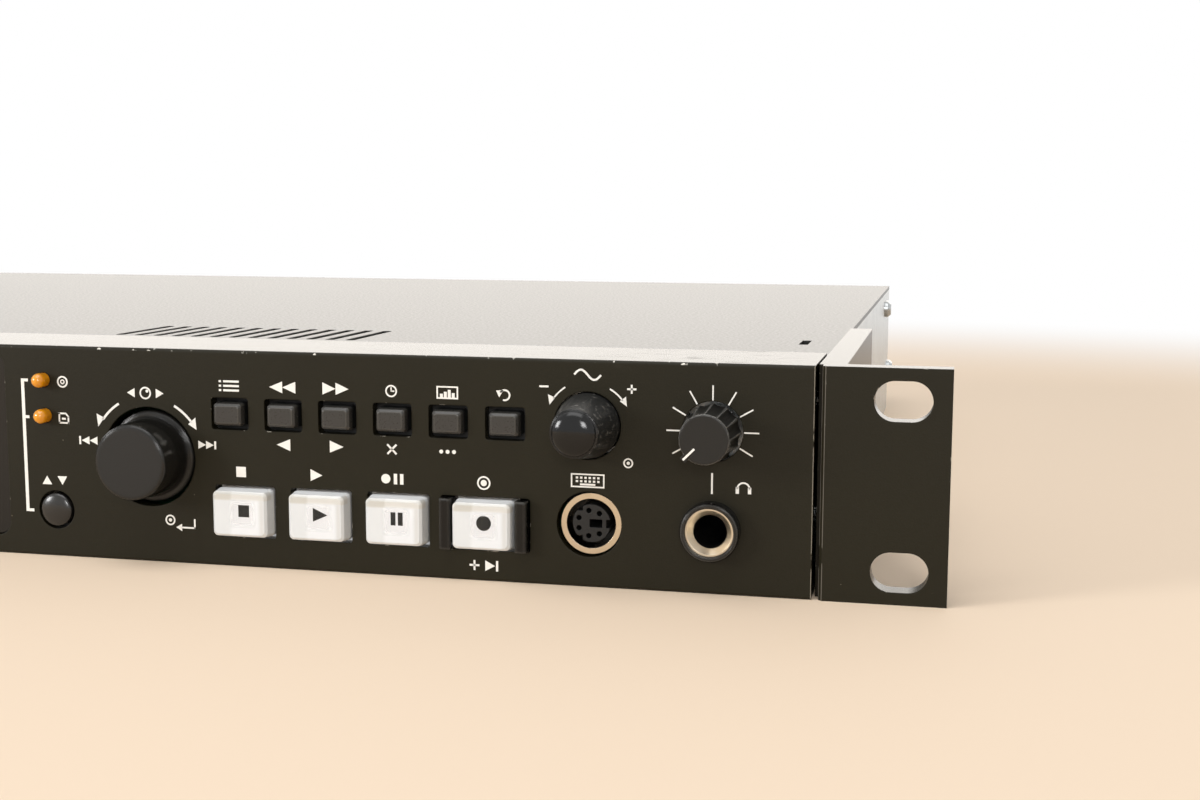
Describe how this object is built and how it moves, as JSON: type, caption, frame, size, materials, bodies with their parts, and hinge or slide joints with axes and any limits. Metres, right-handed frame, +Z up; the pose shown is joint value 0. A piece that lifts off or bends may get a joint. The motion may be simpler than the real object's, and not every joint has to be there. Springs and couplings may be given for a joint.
{
  "type": "rackmount cd recorder",
  "caption": "Low rack-width disc recorder with a slide-out tray, card slot, jog knob, press keys, clear transport keys and headphone controls.",
  "frame": {"origin": "middle of the footprint, on the surface the case stands on", "axes": "+X along the front to the right as seen from the front, +Y from front to rear, +Z up"},
  "size_m": [0.4826, 0.2974, 0.044],
  "materials": {
    "panel_black": "satin black anodised extrusion",
    "ear_black": "satin black anodised extrusion",
    "cover_black": "satin black powder coat on sheet steel",
    "zinc_steel": "zinc-plated sheet steel",
    "window_acrylic": "smoked gloss acrylic",
    "black_plastic": "moulded satin",
    "black_gloss": "moulded gloss",
    "knob_black": "moulded, finely textured",
    "key_grey": "moulded satin",
    "tray_grey": "moulded satin",
    "white_plastic": "moulded satin",
    "cap_clear": "polished clear acrylic",
    "lamp_amber": "tinted epoxy",
    "nickel": "bright nickel plate",
    "board_green": "solder resist on glass epoxy",
    "supply_case": "plain aluminium cage"
  },
  "bodies": {
    "chassis": {"fascia": "panel_black", "rack_ears": "ear_black", "base_pan": "zinc_steel", "top_cover": "cover_black", "rear_panel": "cover_black", "case_screws": "zinc_steel", "display_window": "window_acrylic", "display_module": "black_plastic", "front_board": "board_green", "key_switches": "black_plastic", "encoders": "zinc_steel", "volume_control": "zinc_steel", "media_lamps": "lamp_amber", "keyboard_shell": "nickel", "keyboard_insert": "black_plastic", "phones_ferrule": "black_plastic", "phones_jack": "nickel", "record_guard": "black_gloss", "power_switch": "black_plastic", "card_reader": "black_plastic", "drive_housing": "zinc_steel", "main_board": "board_green", "power_supply": "supply_case", "input_sockets": "black_plastic", "output_sockets": "black_plastic", "mains_inlet": "black_plastic"},
    "menu": {"menu_key": "key_grey"},
    "back": {"back_key": "key_grey"},
    "forward": {"forward_key": "key_grey"},
    "time": {"time_key": "key_grey"},
    "display": {"display_key": "key_grey"},
    "call": {"call_key": "key_grey"},
    "stop": {"stop_cap": "cap_clear", "stop_core": "white_plastic"},
    "play": {"play_cap": "cap_clear", "play_core": "white_plastic"},
    "pause": {"pause_cap": "cap_clear", "pause_core": "white_plastic"},
    "record": {"record_cap": "cap_clear", "record_core": "white_plastic"},
    "select": {"select_button": "black_gloss"},
    "jog_turn": {"jog_rotor": "white_plastic"},
    "jog_knob": {"jog_knob": "knob_black", "jog_shaft": "zinc_steel"},
    "pitch_turn": {"pitch_rotor": "white_plastic"},
    "pitch_knob": {"pitch_knob": "knob_black", "pitch_shaft": "zinc_steel"},
    "phones_knob": {"phones_knob": "knob_black", "phones_shaft": "zinc_steel"},
    "power_rocker": {"power_rocker": "black_gloss"},
    "card_flap": {"card_flap": "black_plastic"},
    "tray": {"disc_tray": "tray_grey", "tray_front": "black_plastic", "mechanism_plate": "zinc_steel", "spindle_motor": "zinc_steel", "sled_rods": "nickel"},
    "turntable": {"turntable": "black_plastic"},
    "sled": {"laser_sled": "tray_grey"},
    "feed": {"feed_screw": "nickel"},
    "eject": {"eject_button": "key_grey"}
  },
  "joints": [
    {"name": "menu_press", "type": "slide", "parent": "chassis", "child": "menu", "axis": [0, 1, 0], "range_m": [0, 0.0008], "stiffness_N_per_m": 2000},
    {"name": "back_press", "type": "slide", "parent": "chassis", "child": "back", "axis": [0, 1, 0], "range_m": [0, 0.0008], "stiffness_N_per_m": 2000},
    {"name": "forward_press", "type": "slide", "parent": "chassis", "child": "forward", "axis": [0, 1, 0], "range_m": [0, 0.0008], "stiffness_N_per_m": 2000},
    {"name": "time_press", "type": "slide", "parent": "chassis", "child": "time", "axis": [0, 1, 0], "range_m": [0, 0.0008], "stiffness_N_per_m": 2000},
    {"name": "display_press", "type": "slide", "parent": "chassis", "child": "display", "axis": [0, 1, 0], "range_m": [0, 0.0008], "stiffness_N_per_m": 2000},
    {"name": "call_press", "type": "slide", "parent": "chassis", "child": "call", "axis": [0, 1, 0], "range_m": [0, 0.0008], "stiffness_N_per_m": 2000},
    {"name": "stop_press", "type": "slide", "parent": "chassis", "child": "stop", "axis": [0, 1, 0], "range_m": [0, 0.0008], "stiffness_N_per_m": 2000},
    {"name": "play_press", "type": "slide", "parent": "chassis", "child": "play", "axis": [0, 1, 0], "range_m": [0, 0.0008], "stiffness_N_per_m": 2000},
    {"name": "pause_press", "type": "slide", "parent": "chassis", "child": "pause", "axis": [0, 1, 0], "range_m": [0, 0.0008], "stiffness_N_per_m": 2000},
    {"name": "record_press", "type": "slide", "parent": "chassis", "child": "record", "axis": [0, 1, 0], "range_m": [0, 0.0008], "stiffness_N_per_m": 2000},
    {"name": "select_press", "type": "slide", "parent": "chassis", "child": "select", "axis": [0, 1, 0], "range_m": [0, 0.0008], "stiffness_N_per_m": 2000},
    {"name": "jog_turn", "type": "hinge", "parent": "chassis", "child": "jog_turn", "pos_m": [0.0819, -0.1363, 0.0218], "axis": [0, 1, 0], "continuous": true},
    {"name": "jog_knob_press", "type": "slide", "parent": "jog_turn", "child": "jog_knob", "axis": [0, 1, 0], "range_m": [0, 0.0005], "stiffness_N_per_m": 4000},
    {"name": "pitch_turn", "type": "hinge", "parent": "chassis", "child": "pitch_turn", "pos_m": [0.1736, -0.1363, 0.0314], "axis": [0, 1, 0], "continuous": true},
    {"name": "pitch_knob_press", "type": "slide", "parent": "pitch_turn", "child": "pitch_knob", "axis": [0, 1, 0], "range_m": [0, 0.0005], "stiffness_N_per_m": 4000},
    {"name": "phones_turn", "type": "hinge", "parent": "chassis", "child": "phones_knob", "pos_m": [0.19765, -0.1363, 0.0311], "axis": [0, 1, 0], "range_deg": [0, 300]},
    {"name": "power_tilt", "type": "hinge", "parent": "chassis", "child": "power_rocker", "pos_m": [-0.2, -0.1333, 0.022], "axis": [-1, 0, 0], "range_deg": [0, 16]},
    {"name": "card_flap_swing", "type": "hinge", "parent": "chassis", "child": "card_flap", "pos_m": [-0.123, -0.1323, 0.0154], "axis": [1, 0, 0], "range_deg": [0, 85], "stiffness_Nm_per_rad": 0.001, "springref_deg": -28.65},
    {"name": "tray_slide", "type": "slide", "parent": "chassis", "child": "tray", "axis": [0, -1, 0], "range_m": [0, 0.132]},
    {"name": "turntable_spin", "type": "hinge", "parent": "tray", "child": "turntable", "pos_m": [-0.118, -0.0648, 0.03], "axis": [0, 0, 1], "continuous": true},
    {"name": "sled_slide", "type": "slide", "parent": "tray", "child": "sled", "axis": [0, 1, 0], "range_m": [0, 0.03]},
    {"name": "feed_turn", "type": "hinge", "parent": "tray", "child": "feed", "pos_m": [-0.0935, -0.0648, 0.0279], "axis": [0, 1, 0], "continuous": true},
    {"name": "eject_press", "type": "slide", "parent": "tray", "child": "eject", "axis": [0, 1, 0], "range_m": [0, 0.001], "stiffness_N_per_m": 1500}
  ],
  "couplings": [
    {"joint": "feed_turn", "follows": "sled_slide", "rad_per_m": 2094.4}
  ]
}
